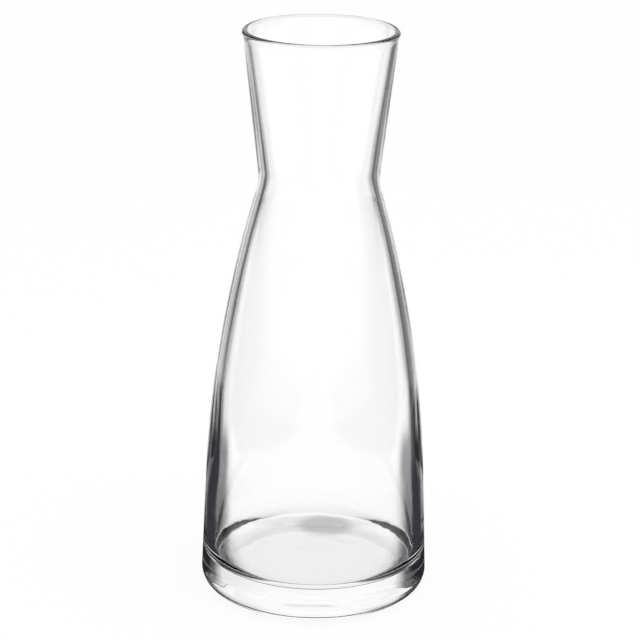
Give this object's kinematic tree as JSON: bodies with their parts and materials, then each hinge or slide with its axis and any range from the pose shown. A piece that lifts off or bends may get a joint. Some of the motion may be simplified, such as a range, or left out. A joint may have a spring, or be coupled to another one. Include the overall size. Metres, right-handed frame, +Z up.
{
  "type": "carafe",
  "caption": "Clear glass table carafe: heavy round foot, long tapering shoulder, pinched waist and flared open mouth; no lid, handle or stopper.",
  "frame": {"origin": "centre of the foot, on the plane it stands on", "axes": "+Z up along the axis of the body; X and Y are alike, as the body is a surface of revolution"},
  "size_m": [0.108, 0.108, 0.27],
  "materials": {
    "clear_glass": "clear, smooth, fire-polished"
  },
  "bodies": {
    "root": {"glass_body": "clear_glass"}
  },
  "joints": []
}
